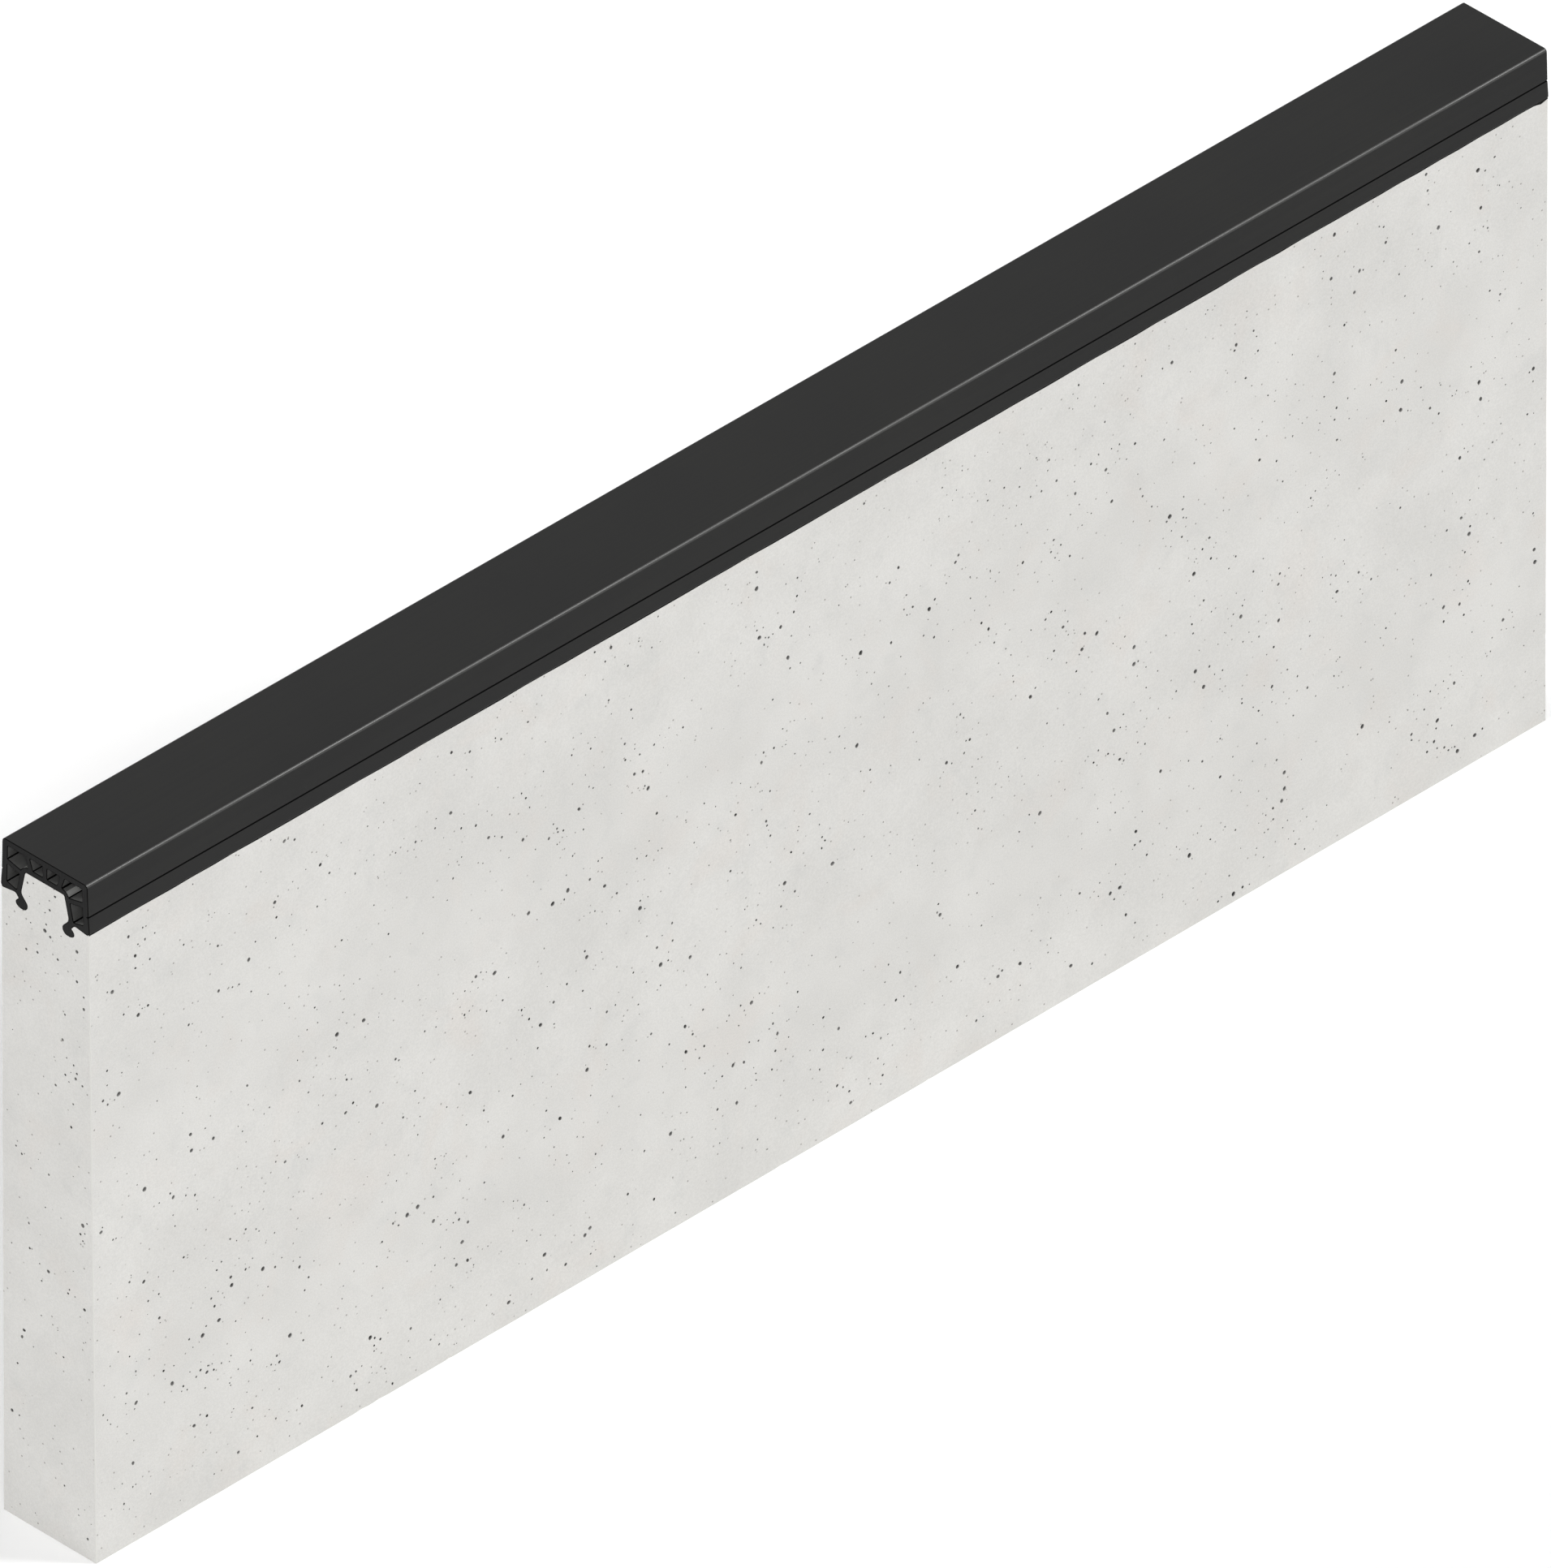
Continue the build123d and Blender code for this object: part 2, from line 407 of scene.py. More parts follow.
def fill_flat(shell, rim, across, rng=None):
    """Fills the flat face inside a rim of point numbers, which runs counter-clockwise seen from outside.

    across is a direction in the face. The face gets air holes if rng is given.
    """
    at = np.array([shell.points[i] for i in rim])
    middle = at.mean(axis=0)
    normal = unit(np.cross(at - middle, np.roll(at, -1, axis=0) - middle).sum(axis=0))
    across = unit(np.array(across, float))
    axes = np.stack([across, np.cross(normal, across)])
    loop = (at - middle) @ axes.T
    numbers, flat, owner, depth_tone = list(rim), [*loop], [-1] * len(rim), [1.0] * len(rim)
    tones = []
    for hole, (x, y, radius, points) in enumerate(scatter_holes(loop, rng) if rng else ()):
        angles = np.arange(points) * 2 * math.pi / points
        turn, squeeze = rng.uniform(0, math.pi), rng.uniform(*hole_squeeze)
        wobble = 1 + rng.uniform(-hole_wobble, hole_wobble, points)
        ring = radius * wobble[:, None] * np.stack([np.cos(angles), squeeze * np.sin(angles)], axis=1)
        spin = np.array([[math.cos(turn), math.sin(turn)], [-math.sin(turn), math.cos(turn)]])
        large = points == hole_kinds[0][2]
        rings = hole_rings if large else hole_rings[::2]
        for share, depth in rings:
            spots = ring @ spin * share + (x, y)
            below = depth * hole_depth * radius * squeeze
            numbers += list(shell.keep(middle + spots @ axes - normal * below))
            flat += [*spots]
            owner += [hole] * points
            depth_tone += [rim_tone if large and depth == 0 else 1.0] * points
        tones.append(rng.uniform(*hole_tones))
    rim_edges = [(i, (i + 1) % len(rim)) for i in range(len(rim))]
    made = delaunay_2d_cdt([Vector(spot) / mm for spot in flat], rim_edges, [], INSIDE_ONLY, same_spot)
    spots_made, faces_made, came_from = made[0], made[2], made[3]
    if len(spots_made) != len(flat):
        print("warning: points merged or split while filling", len(flat), "to", len(spots_made))
    for corners in faces_made:
        source = [came_from[i][0] for i in corners]
        owners = {owner[i] for i in source}
        hole = owners.pop() if len(owners) == 1 else -1
        if hole < 0:
            shell.face([numbers[i] for i in source])
        else:
            # The hole's faces get painted shade, partly dirt, as dark as its tone.
            tone = tones[hole] * min(depth_tone[i] for i in source)
            shell.face([numbers[i] for i in source], "pore", tone)
    return len(tones)


trial = Shell()
fill_flat(trial, trial.keep([(0, 0, 0), (1, 0, 0), (1, 1, 0), (0, 1, 0)]), (1, 0, 0))
print("a plain square is filled with", len(trial.faces), "triangles")

# %% [markdown]
# ## The concrete body: worn edges
#
# The casting is a plain slab, but its edges decide whether it looks real. Concrete never keeps a sharp
# edge: the mould rounds it by half a millimetre, and handling knocks off a chip here and there. A Bevel
# modifier would round everything alike, so the rounding is built by hand with a size that wanders along
# each edge. The four long edges run between the ends, and a second rounding goes round each end. Where
# the concrete meets the rubber at the ends, the edge is only softened. The edges along the rubber get a
# finish of their own, "joint", painted dark: partly the soil that gathers there and partly painted shade
# under the rubber's lip.

# %% Edge wear
edge_size = 0.5 * mm
edge_wander = 0.35  # share by which that size comes and goes
wander_length = 14 * mm
chips_per_metre = 3.5
chip_width, chip_depth = (1.0 * mm, 3.2 * mm), (0.3 * mm, 1.0 * mm)
station_gap = 2.5 * mm
seat_edge = 0.18 * mm
lip_edge = 0.08 * mm  # at the thin tip of concrete beside the lip
lip_tuck = 0.55 * mm  # under the lip, how far in the rounded edge starts
edge_turns = 3  # faces across a rounded edge
joint_width = 1.3  # how many times wider the edge along the rubber's lip is
corner_share = 0.6  # at an end's corners, the end's edge is no wider than this share of the long edge
seed = 7  # another number gives the next casting from the same mould
rng = np.random.default_rng(seed)


def worn(count, spacing, rng):
    """The size of a rounded edge at places a spacing apart: a slow wander with a few chips."""
    along = np.arange(count) * spacing
    knots = np.arange(0, along[-1] + 2 * wander_length, wander_length)
    size = edge_size * (1 + edge_wander * np.interp(along, knots, rng.uniform(-1, 1, len(knots))))
    for _ in range(rng.poisson(along[-1] * chips_per_metre)):
        place, width, depth = rng.uniform(0, along[-1]), rng.uniform(*chip_width), rng.uniform(*chip_depth)
        size += depth * np.exp(-(((along - place) / width) ** 2))
    return size


print("edges of", edge_size / mm, "mm, chips down to", chip_depth[1] / mm, "mm")


# %% Corners and stations
def trimmed(path, cut):
    """An open path with a length cut off its start."""
    along = np.concatenate([[0], np.cumsum(np.linalg.norm(np.diff(path, axis=0), axis=1))])
    start = [np.interp(cut, along, path[:, k]) for k in (0, 1)]
    return np.vstack([start, path[along > cut + weld]])


lowest_front = int(np.lexsort((body_section[:, 0], np.round(body_section[:, 1], 6)))[0])
body_section = np.roll(body_section, -lowest_front, axis=0)
corners = body_section[[0, 1, 2, -1]]  # bottom front, bottom back, under the lip at the back, then the front
seat = trimmed(trimmed(body_section[2:], lip_tuck)[::-1], lip_tuck)[::-1]
stations = np.linspace(-half_length, half_length, round(2 * half_length / station_gap) + 1)
print(len(stations), "stations along each long edge; corners in mm:", np.round(corners / mm, 1).tolist())


# %% Long edges
def rounded_corner(k, sizes):
    """The rounded corner k of the section for each of some sizes, as (sizes, points, 2)."""
    sizes = np.asarray(sizes)[:, None, None]
    before = seat[-1] if k == 3 else corners[k] + unit(corners[k - 1] - corners[k]) * sizes
    after = seat[0] if k == 2 else corners[k] + unit(corners[(k + 1) % 4] - corners[k]) * sizes
    t = np.linspace(0, 1, edge_turns + 1)[:, None]
    return (1 - t) ** 2 * before + 2 * t * (1 - t) * corners[k] + t**2 * after


edge_sizes = [worn(len(stations), station_gap, rng) * (joint_width if k > 1 else 1) for k in range(4)]
long_edges = [rounded_corner(k, edge_sizes[k]) for k in range(4)]
print("edge sizes in mm:", [f"{sizes.min() / mm:.2f} to {sizes.max() / mm:.2f}" for sizes in edge_sizes])


# %% The outline of an end
def between(a, b, spacing):
    """Evenly spaced points between a and b, without either."""
    count = max(2, round(np.linalg.norm(b - a) / spacing))
    return a + (b - a) * np.linspace(0, 1, count + 1)[1:-1, None]


def end_outline(i):
    """Station i's outline: its points, where its corners start, and each point's edge size and finish."""
    arcs = [edge[i] for edge in long_edges]
    parts = [
        arcs[0],
        between(arcs[0][-1], arcs[1][0], station_gap),
        arcs[1],
        between(arcs[1][-1], arcs[2][0], station_gap),
        arcs[2],
        seat[1:-1],
        arcs[3],
        between(arcs[3][-1], arcs[0][0], station_gap),
    ]
    starts = np.concatenate([[0], np.cumsum([len(part) for part in parts])])
    sizes = worn(starts[-1], station_gap, rng)
    for part, k in ((0, 0), (2, 1)):
        sizes[starts[part] : starts[part + 1]] = min(edge_size, corner_share * edge_sizes[k][i])
    sizes[starts[4] : starts[7]] = lip_edge
    sizes[starts[5] : starts[6]] = seat_edge
    finishes = np.where(np.arange(starts[-1]) < starts[5] - 1, "arris", "joint")
    finishes[starts[6] :] = "arris"
    return np.vstack(parts), starts[[0, 2, 4, 6]], sizes, list(finishes)


print("the seat under the rubber has", len(seat), "points")


# %% Both ends
def add_rim(shell, outline, sizes, side, turns, finish):
    """Adds the rounded rim of one end, and returns its outermost and innermost rings of points."""
    rings = []
    for angle in np.linspace(math.pi / 2, 0, turns + 1):
        ring = outline + inward(outline) * (sizes * (1 - math.sin(angle)))[:, None]
        x = side * (half_length - sizes * (1 - math.cos(angle)))
        rings.append(shell.keep(np.column_stack([x, ring])))
    for outer, inner in zip(rings, rings[1:]):
        shell.bridge(np.append(outer, outer[0]), np.append(inner, inner[0]), finish)
    return rings[0], rings[-1]


body = Shell()
near_outline, near_starts, near_sizes, near_finishes = end_outline(0)
near_ring, near_face = add_rim(body, near_outline, near_sizes, -1, edge_turns, near_finishes)
far_outline, far_starts, far_sizes, far_finishes = end_outline(-1)
far_ring, far_face = add_rim(body, far_outline, far_sizes, 1, edge_turns, far_finishes)
print(len(near_ring), "points round the near end and", len(far_ring), "round the far end")

# %% [markdown]
# ## The concrete body: faces
#
# With both ends standing, the long edges are strung between them and the flat faces filled in: front,
# back and bedding face, then the two ends, each with its own scatter of air holes. The seat under the
# rubber is never seen, but it is there, so that the mesh is a closed casting. It gets no holes.

# %% Body faces
turn_points = np.arange(edge_turns + 1)
grids = []
for k in range(4):
    grid = [near_ring[near_starts[k] + turn_points]]
    for x, row in zip(stations[1:-1], long_edges[k][1:-1]):
        grid.append(body.keep(np.column_stack([np.full(edge_turns + 1, x), row])))
    grid.append(far_ring[far_starts[k] + turn_points])
    grids.append(np.array(grid))
    for m in range(edge_turns):
        body.bridge(grids[k][:, m], grids[k][:, m + 1], "joint" if k > 1 else "arris")


def side_points(ring, starts, a, b):
    """Ring points strictly between the end of corner a and the start of corner b."""
    first = starts[a] + edge_turns + 1
    return ring[first : starts[b] if b else len(ring)]


holes = 0
for a, b in ((3, 0), (0, 1), (1, 2)):
    rim = [
        *grids[b][:, 0],
        *side_points(far_ring, far_starts, a, b)[::-1],
        *grids[a][::-1, -1],
        *side_points(near_ring, near_starts, a, b),
    ]
    holes += fill_flat(body, rim, (1, 0, 0), rng)
holes += fill_flat(body, far_face, (0, 1, 0), rng)
holes += fill_flat(body, near_face[::-1], (0, 1, 0), rng)

near_seat = side_points(near_ring, near_starts, 2, 3)
far_seat = side_points(far_ring, far_starts, 2, 3)
body.bridge(near_seat, far_seat)
fill_flat(body, [*grids[2][::-1, -1], near_seat[0], far_seat[0]], (1, 0, 0))
fill_flat(body, [*grids[3][:, 0], far_seat[-1], near_seat[-1]], (1, 0, 0))
concrete = body.to_object("cast_concrete", smooth={"arris", "joint", "pore"})
print(holes, "air holes")

# %% [markdown]
# ## The concrete finish
#
# The body is dense, self-levelling concrete from light grey cement, cast against oiled steel. The steel
# leaves a fine closed skin of cement: pale warm grey, matt, with no stones showing. What gives it away as
# concrete is faint and comes in layers. Water moving in the mould leaves soft clouds a few centimetres
# across. Mould oil and iron in the sand leave faint warm patches, and damp leaves small grey ones. Sand
# just under the skin shows as a fine grain, with dark specks where a mineral grain or a pin hole sits. The
# real skin is much finer than the 0.9 mm of this grain, which is as coarse as it needs to be to show. Each
# layer is one noise at its own size, and none is strong. Solid noise runs through the whole block, so the
# pattern carries on round every edge.
#
# Cement paste has an IOR near 1.5 and a roughness of 0.8 to 0.9, and its dust takes away more of the gloss.
#
# The last three layers follow the shape and not a noise. Worn edges are a little paler, because the cement
# skin is gone. The joint beside the rubber is dark, partly with soil and partly with painted shade under
# the lip. Air holes are dark, partly with dirt and partly with painted shade for the little light they let
# out again.

# %% Cast concrete: colours and patterns
skin_light, skin_dark = colour("#C3C2BF"), colour("#BDBCB9")
oil_stain = colour("#C0B9B3")
wet_stain = colour("#B6B6B4")
mineral_fleck = colour("#5E5A55")
# painted shade in the air holes, partly dirt
hole_shade = colour("#0F0E0D")
worn_edge = colour("#C8C7C3")
# partly soil, partly painted shade under the rubber's lip
joint_soil_and_shade = colour("#141312")
cloud_mm, oil_mm, damp_mm, sand_mm = 55, 38, 16, 0.9  # the size of each pattern's features
fleck_cell_mm, fleck_radius_mm = 6.0, 0.28  # one fleck to each cell of this size
fleck_fade = 2.4  # a fleck has faded out at this many times its radius
FACTOR, MIX_A, MIX_B, MIX_RESULT = 0, 6, 7, 2  # the colour sockets of a Mix node

cast = bpy.data.materials.new("light grey cement cast against steel")
cast.use_nodes = True
tree = cast.node_tree
tree.nodes.clear()
place = add(tree, "TexCoord", {}).outputs["Object"]

clouds = add(tree, "TexNoise", {"Vector": place, "Scale": per(cloud_mm), "Detail": 4.0, "Roughness": 0.6})
cloud_share = add(tree, "MapRange", {"Value": clouds.outputs[0], "From Min": 0.36, "From Max": 0.64})
oily = add(tree, "TexNoise", {"Vector": place, "Scale": per(oil_mm), "Detail": 2.0, "Distortion": 0.6})
oily_share = add(
    tree, "MapRange", {"Value": oily.outputs[0], "From Min": 0.55, "From Max": 0.75, "To Max": 0.3}
)
damp = add(tree, "TexNoise", {"Vector": place, "Scale": per(damp_mm), "Detail": 3.0, "Distortion": 0.4})
damp_share = add(
    tree, "MapRange", {"Value": damp.outputs[0], "From Min": 0.56, "From Max": 0.78, "To Max": 0.45}
)
sand = add(tree, "TexNoise", {"Vector": place, "Scale": per(sand_mm), "Detail": 3.0, "Roughness": 0.7})
sand_tone = add(
    tree,
    "MapRange",
    {"Value": sand.outputs[0], "From Min": 0.3, "From Max": 0.7, "To Min": 0.93, "To Max": 1.07},
)
flecks = add(tree, "TexVoronoi", {"Vector": place, "Scale": per(fleck_cell_mm)}, feature="F1")
fleck_share = add(
    tree,
    "MapRange",
    {
        "Value": flecks.outputs["Distance"],
        "From Min": fleck_radius_mm / fleck_cell_mm * fleck_fade,
        "From Max": fleck_radius_mm / fleck_cell_mm,
        "To Max": 0.75,
    },
)
print(cast.name, "has patterns of", cloud_mm, oil_mm, damp_mm, fleck_cell_mm, "and", sand_mm, "mm")

# %% Cast concrete: the layers, from the lowest up
arris = add(tree, "Attribute", {}, attribute_name="arris")
joint = add(tree, "Attribute", {}, attribute_name="joint")
pore = add(tree, "Attribute", {}, attribute_name="pore")
surface = skin_dark
for share, tint, blend in (
    (cloud_share.outputs[0], skin_light, "MIX"),
    (oily_share.outputs[0], oil_stain, "MIX"),
    (damp_share.outputs[0], wet_stain, "MIX"),
    (1.0, sand_tone.outputs[0], "MULTIPLY"),
    (fleck_share.outputs[0], mineral_fleck, "MIX"),
    (arris.outputs["Fac"], worn_edge, "MIX"),
    # the joint under the rubber's lip: partly soil, partly painted shade
    (joint.outputs["Fac"], joint_soil_and_shade, "MIX"),
    # the air holes: partly dirt, partly painted shade
    (pore.outputs["Fac"], hole_shade, "MIX"),
):
    layer = add(tree, "Mix", {FACTOR: share, MIX_A: surface, MIX_B: tint}, data_type="RGBA", blend_type=blend)
    surface = layer.outputs[MIX_RESULT]

grain_height, ripple_height = 0.05 * mm, 0.6 * mm
matt_share = add(
    tree,
    "MapRange",
    {"Value": clouds.outputs[0], "From Min": 0.3, "From Max": 0.7, "To Min": 0.78, "To Max": 0.92},
)
grain = add(tree, "Bump", {"Height": sand.outputs[0], "Distance": grain_height, "Strength": 0.6})
ripple = add(
    tree,
    "Bump",
    {"Height": clouds.outputs[0], "Distance": ripple_height, "Strength": 0.5, "Normal": grain.outputs[0]},
)
shader = add(
    tree,
    "BsdfPrincipled",
    {
        "Base Color": surface,
        "Roughness": matt_share.outputs[0],
        "Normal": ripple.outputs[0],
        "IOR": 1.5,
        "Specular IOR Level": 0.3,
    },
)
add(tree, "OutputMaterial", {"Surface": shader.outputs[0]})
concrete.data.materials.append(cast)
print(cast.name, "with", len(tree.nodes), "nodes")

# %% [markdown]
# ## The rubber cap
#
# The cap is an extrusion: warm rubber pushed through a steel die, cured, and cut to length with a blade.
# So its shape is one section drawn out straight, six hollow chambers and all. Sweeping a curve along the
# kerb would work as well, but bridging the outline at one end to the same outline at the other is exact
# and light. Two details are added to the frame's outline. Along each side, where two flats meet, the die
# leaves a hairline groove. It is drawn nearly 1 mm wide and 0.8 mm deep, as coarse as it needs to be to
# show as a black line. At the cut ends the blade leaves a small soft edge round the outside and round
# each chamber.
#
# While the shape is made, each side of the outline also notes its finish. Feet rub the rounded top edges
# pale, and that paler colour is also a painted highlight. Inside the chambers the flats are grey, partly
# with the talc that keeps fresh rubber from sticking to itself and partly with painted light; the rounded
# slope over the concrete carries a pale painted highlight, and the tight corners are painted black as shade.

# %% Cap sizes
crease_half_width, crease_depth = 0.46 * mm, 0.8 * mm
long_side = 5 * mm  # a crease is a point with sides longer than this on both hands
cut_edge = 0.3 * mm
cut_turns = 2  # faces across that edge
sharp_from = 18  # degrees, less than one step of the rounding at the ends
chamber_corner = 0.5 * mm  # sides shorter than this belong to a chamber's rounded corners
# The next line sets how far below the top the rounded edges get paler wear and a painted highlight.
rubbed_and_highlight_reach = 3 * mm  # below the top, where feet rub the rounded edges
# A side's lean is its share of rise times its share of run: 0 when level or upright, 0.5 at 45 degrees.
# The first lean picks the top edges with paler wear and a painted highlight, the second the chamber slope
# with a painted highlight.
rubbed_and_highlight_lean, painted_highlight_lean = 0.25, 0.42
print(f"groove {2 * crease_half_width / mm:.2f} mm wide, soft edge {cut_edge / mm:.1f} mm")


# %% Outlines with their finishes
def lean(steps):
    """How far each side of an outline leans, from 0 to 0.5."""
    return np.abs(steps[:, 0] * steps[:, 1]) / np.sum(steps**2, axis=1)


def with_creases(outline):
    """The outline with a small groove at each point where two long sides meet, and each side's finish."""
    before = outline - np.roll(outline, 1, axis=0)
    after = np.roll(before, -1, axis=0)
    step, leans = inward(outline), lean(after)
    rows, finishes = [], []
    for i, point in enumerate(outline):
        back, on = np.linalg.norm(before[i]), np.linalg.norm(after[i])
        if back > long_side and on > long_side:
            rows += [
                point - before[i] / back * crease_half_width,
                point + step[i] * crease_depth,
                point + after[i] / on * crease_half_width,
            ]
            # the groove's faces are painted black as shade
            finishes += ["groove", "groove", "skin"]
        else:
            rows.append(point)
            # Near the top, a leaning side gets paler wear and a painted highlight.
            high_up = cap_high.z - (point + after[i] / 2)[1] < rubbed_and_highlight_reach
            finishes.append("rubbed" if high_up and leans[i] > rubbed_and_highlight_lean else "skin")
    return np.array(rows), finishes


def talc_and_painted_light_sides(room):
    """A chamber's outline with each side's finish."""
    steps = np.roll(room, -1, axis=0) - room
    # The chamber's rounded slope gets a painted highlight, the flats talc dust and painted light, and the
    # tight corners painted shade.
    finishes = np.where(lean(steps) > painted_highlight_lean, "heaped", "dusted")
    finishes[np.linalg.norm(steps, axis=1) <= chamber_corner] = "groove"
    return room, list(finishes)


cap_outlines = [with_creases(cap_section), *map(talc_and_painted_light_sides, chambers)]
print("finishes round the section:", sorted({finish for _, finishes in cap_outlines for finish in finishes}))

# %% Cap shape
cap = Shell()
end_rims = {-1: [], 1: []}
for outline, side_finishes in cap_outlines:
    rings = {}
    for end in (-1, 1):
        edge_widths = np.full(len(outline), cut_edge)
        rings[end], innermost = add_rim(cap, outline, edge_widths, end, cut_turns, "smear")
        end_rims[end].append(innermost)
    cap.bridge(np.append(rings[-1], rings[-1][0]), np.append(rings[1], rings[1][0]), side_finishes)
print(len(cap.points), "points round", len(end_rims[1]), "outlines")


# %% Cap ends
def fill_end(shell, rims, finish):
    """Fills the cut end between the outer rim and the chambers."""
    rows = np.array(shell.points)
    loops = [rows[rim][:, 1:] / mm for rim in rims]
    starts = np.cumsum([0] + [len(loop) for loop in loops])
    edges = [
        (int(first) + i, int(first) + (i + 1) % len(loop))
        for first, loop in zip(starts, loops)
        for i in range(len(loop))
    ]
    made = delaunay_2d_cdt([Vector(spot) for spot in np.vstack(loops)], edges, [], INSIDE_ONLY, same_spot)
    numbers = np.concatenate(rims)
    for triangle in made[2]:
        source = [made[3][i][0] for i in triangle]
        centre = np.mean([(made[0][i].x, made[0][i].y) for i in triangle], axis=0)[None]
        if not any(inside(centre, loop)[0] for loop in loops[1:]):
            shell.face(numbers[source], finish, 1.0)


for rims in end_rims.values():
    fill_end(cap, rims, "cut")
rubber = cap.to_object("extruded_rubber", smooth={"skin", "rubbed", "dusted", "heaped"})
rubber.data.set_sharp_from_angle(angle=math.radians(sharp_from))
print("edges sharper than", sharp_from, "degrees are shaded sharp")

# %% [markdown]
# ## The rubber finish
#
# The cap is EPDM, a black weatherproof rubber full of carbon soot. Its skin takes the polish of the die,
# so it has a low sheen and very fine lines along its length, and after some weeks a thin grey bloom comes
# to the surface. Feet rub its rounded top edges paler, and that colour is also a painted highlight. The cut
# ends have no such skin: they are duller, with faint marks from the blade, and round each edge the blade
# smears the rubber black. The groove along each side and the tight corners of the chambers are painted
# black as shade. The flats of the chambers are grey, partly with talc and partly with painted light, and
# their rounded slope carries a painted highlight. So one function makes the rubber, and five materials
# differ only in colour, sheen and the run of their lines. The lines are noise stretched a thousand times
# along the kerb. Real ones are under a tenth of a millimetre wide, too fine for a picture, so the ones here
# are as coarse as they need to be to show.
#
# EPDM has an IOR near 1.5. Its polished skin has a roughness near 0.4, and a cut or dusty face 0.7 and up.

# %% EPDM rubber: colours and patterns
bloom_grey, soot_black = colour("#222221"), colour("#1E1E1E")
blade_dark, blade_grey = colour("#202020"), colour("#282828")
# painted shade in the grooves and the chambers' tight corners, and the black of the smeared rims
painted_groove_shade = colour("#060606")
# partly wear, partly a painted highlight on the rounded top edges
rubbed_and_highlight_grey = colour("#3C3C3B")
# partly talc dust, partly painted light inside the chambers
talc_and_light_thin, talc_and_light_thick = colour("#4F4F4E"), colour("#5E5E5D")
# a painted highlight on the rounded slope in a chamber
highlight_dim, highlight_bright = colour("#8A8A88"), colour("#9E9E9C")
bloom_mm = 70  # the size of the patches of bloom
polish_change = 0.04  # how much the roughness comes and goes with them
along_kerb, down_kerb, dust_run = (0.001, 1, 1), (1, 1, 0.05), (0.02, 1, 1)  # how lines are stretched
print("bloom in patches of", bloom_mm, "mm")


# %% EPDM rubber: the material
def rubber_material(name, low, high, roughness, specular, stretch, line_mm, line_depth_mm):
    """EPDM with lines of a width and depth in mm. A stretch of 0.001 makes them long along that axis."""
    made = bpy.data.materials.new(name)
    made.use_nodes = True
    nodes = made.node_tree
    nodes.nodes.clear()
    where = add(nodes, "TexCoord", {}).outputs["Object"]
    drawn = add(nodes, "Mapping", {"Vector": where, "Scale": stretch})
    lines = add(
        nodes,
        "TexNoise",
        {"Vector": drawn.outputs[0], "Scale": per(line_mm), "Detail": 3.0, "Roughness": 0.6},
    )
    bloom = add(nodes, "TexNoise", {"Vector": where, "Scale": per(bloom_mm), "Detail": 3.0})
    both = add(nodes, "Math", {0: lines.outputs[0], 1: bloom.outputs[0]}, operation="MULTIPLY")
    share = add(nodes, "MapRange", {"Value": both.outputs[0], "From Min": 0.12, "From Max": 0.40})
    tone = add(nodes, "Mix", {FACTOR: share.outputs[0], MIX_A: low, MIX_B: high}, data_type="RGBA")
    # paler wear and a painted highlight on the rounded top edges
    rubbed = add(nodes, "Attribute", {}, attribute_name="rubbed")
    tone = add(
        nodes,
        "Mix",
        {FACTOR: rubbed.outputs["Fac"], MIX_A: tone.outputs[MIX_RESULT], MIX_B: rubbed_and_highlight_grey},
        data_type="RGBA",
    )
    polish = add(
        nodes,
        "MapRange",
        {
            "Value": bloom.outputs[0],
            "From Min": 0.3,
            "From Max": 0.7,
            "To Min": roughness - polish_change,
            "To Max": roughness + polish_change,
        },
    )
    bump = add(
        nodes, "Bump", {"Height": lines.outputs[0], "Distance": line_depth_mm * mm, "Strength": 0.5}
    )
    skin = add(
        nodes,
        "BsdfPrincipled",
        {
            "Base Color": tone.outputs[MIX_RESULT],
            "Roughness": polish.outputs[0],
            "Normal": bump.outputs[0],
            "IOR": 1.5,
            "Specular IOR Level": specular,
        },
    )
    add(nodes, "OutputMaterial", {"Surface": skin.outputs[0]})
    return made


print("lines along the kerb are", round(1 / along_kerb[0]), "times longer than wide")

# %% EPDM rubber: five finishes
# Each has two colours, a roughness, a gloss, and the run, width and depth of its lines.
# The skin: black with a low sheen.
die_skin = rubber_material(
    "EPDM rubber, extruded skin", soot_black, bloom_grey, 0.38, 0.4, along_kerb, 1.6, 0.02
)
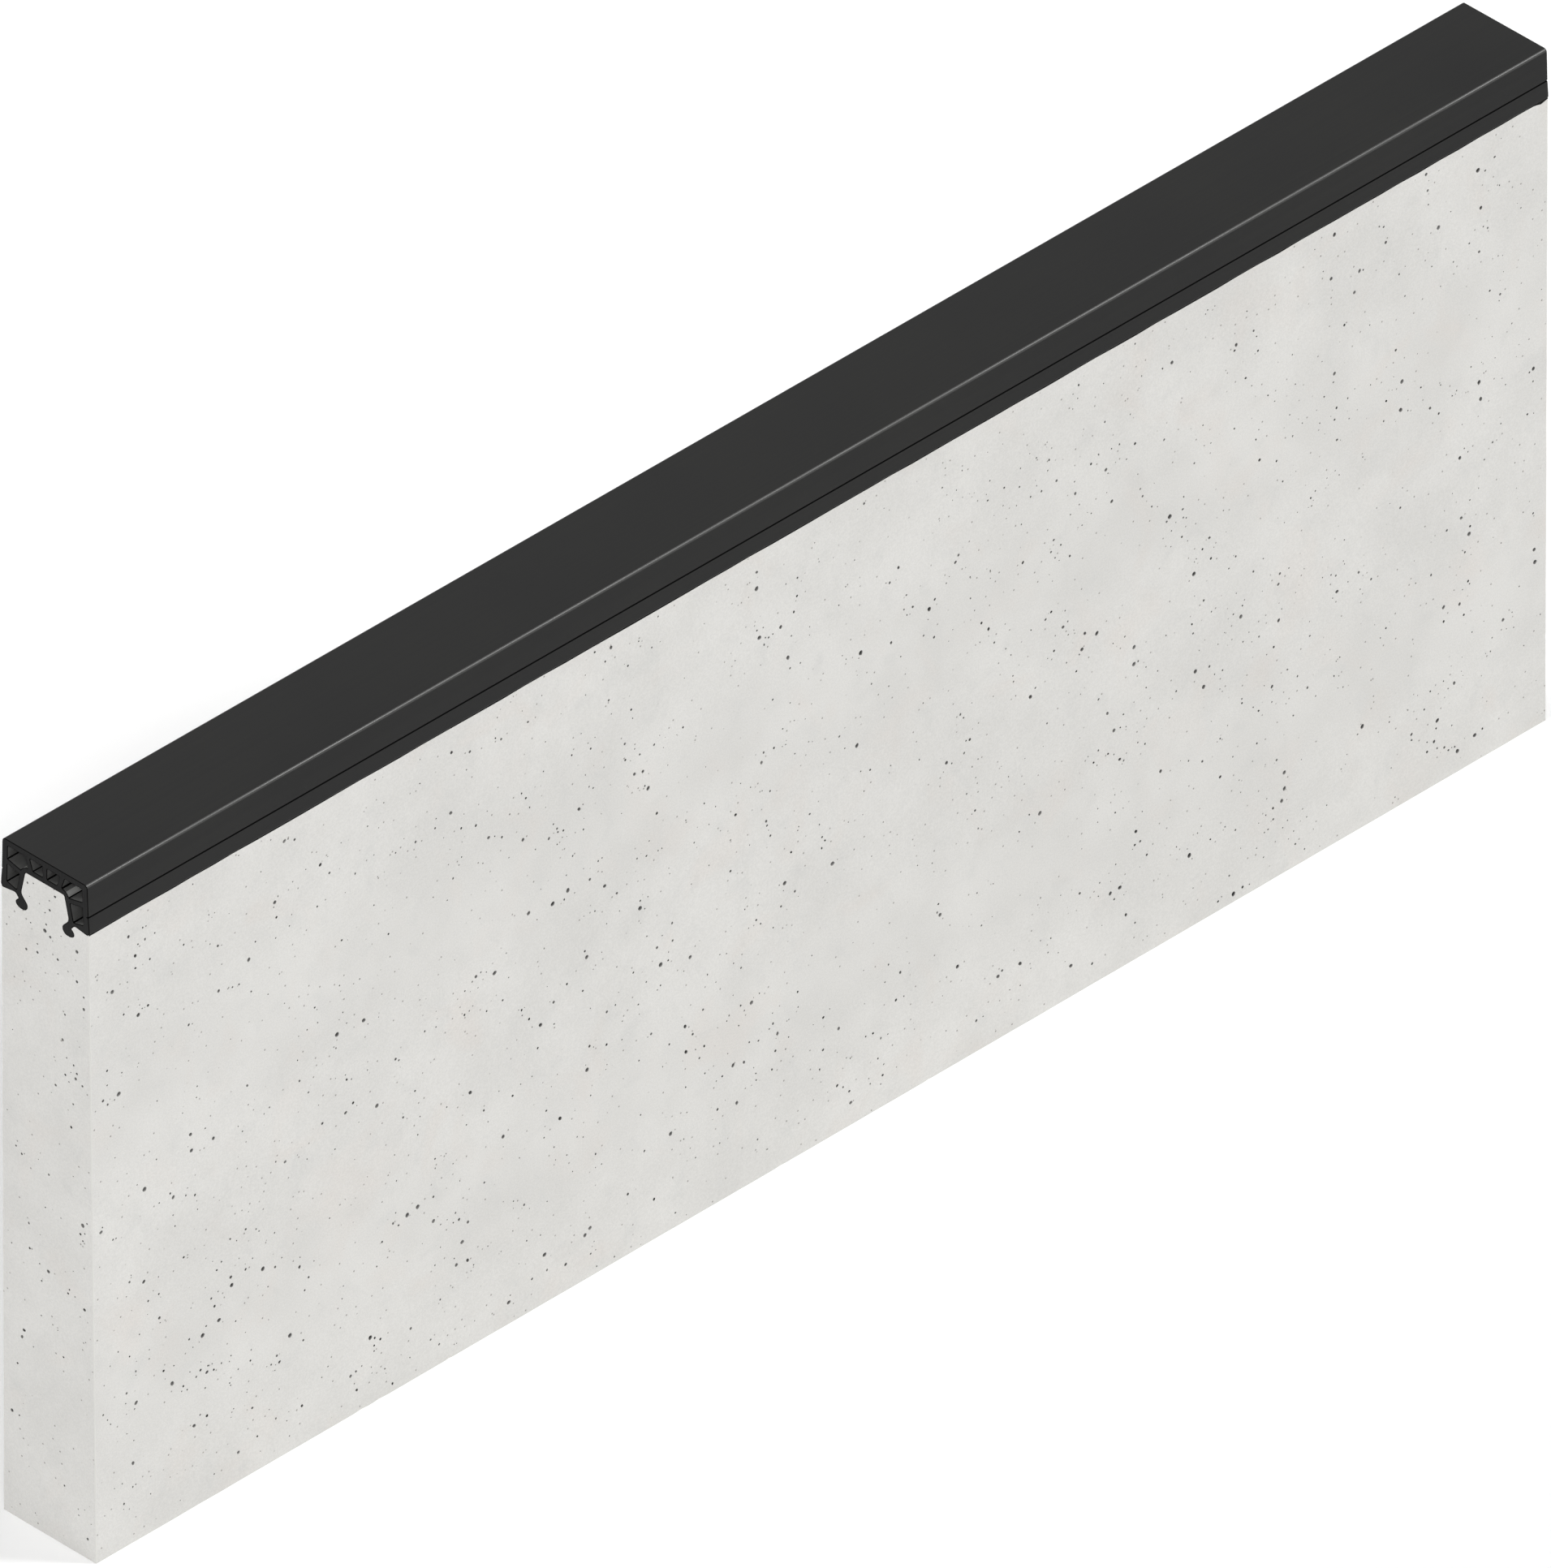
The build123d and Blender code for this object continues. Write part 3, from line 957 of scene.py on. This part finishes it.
# The cut end: dull, with marks that run up and down.
cut_face = rubber_material(
    "EPDM rubber, blade-cut", blade_dark, blade_grey, 0.7, 0.12, down_kerb, 0.8, 0.03
)
# The groove and the chambers' tight corners: dead black, as painted shade. The smeared rims: the same black.
groove_shade_and_smear = rubber_material(
    "EPDM rubber, groove from the die", painted_groove_shade, painted_groove_shade, 0.8, 0.05, along_kerb, 1.6, 0.02
)
# The flats of the chambers: a grey that is partly talc dust and partly painted light.
dusted = rubber_material(
    "EPDM rubber, dusted with talc", talc_and_light_thin, talc_and_light_thick, 0.7, 0.2, dust_run, 2.5, 0.02
)
# The rounded slope in a chamber: a painted highlight, a pale band.
heaped = rubber_material(
    "EPDM rubber, painted highlight in a chamber", highlight_dim, highlight_bright, 0.7, 0.2, dust_run, 2.5, 0.02
)
print("rubber made in", len((die_skin, cut_face, groove_shade_and_smear, dusted, heaped)), "finishes")

# %% Which face wears which rubber
worn_by = {
    "skin": die_skin,
    # the rounded top edges: paler wear and a painted highlight
    "rubbed": die_skin,
    "cut": cut_face,
    # grooves and chamber corners: painted shade; the smeared rims: the same black
    "smear": groove_shade_and_smear,
    "groove": groove_shade_and_smear,
    # the chamber flats: talc dust and painted light; their rounded slope: a painted highlight
    "dusted": dusted,
    "heaped": heaped,
}
for made in dict.fromkeys(worn_by.values()):
    rubber.data.materials.append(made)
slots = list(rubber.data.materials)
face_slots = [slots.index(worn_by[finish]) for finish, _ in cap.notes]
rubber.data.polygons.foreach_set("material_index", face_slots)
print("rubber finishes:", [made.name for made in slots])

# %% [markdown]
# ## Handing the pieces to the frame
#
# The two new pieces stand for the two plain nodes of the frame and move with its one body. How far the
# finished kerb reaches beyond the frame's box is printed, because detail may never make a thing bigger
# than it is.

# %% Hand over
for piece, node, slot in ((concrete, "concrete_body", "concrete"), (rubber, "rubber_cap", "rubber")):
    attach(piece, "root")
    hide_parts(node)

visual_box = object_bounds()
beyond = max(*(cad_box[0] - visual_box[0]), *(visual_box[1] - cad_box[1]))
print(f"beyond the frame by at most {beyond / mm:.4f} mm")
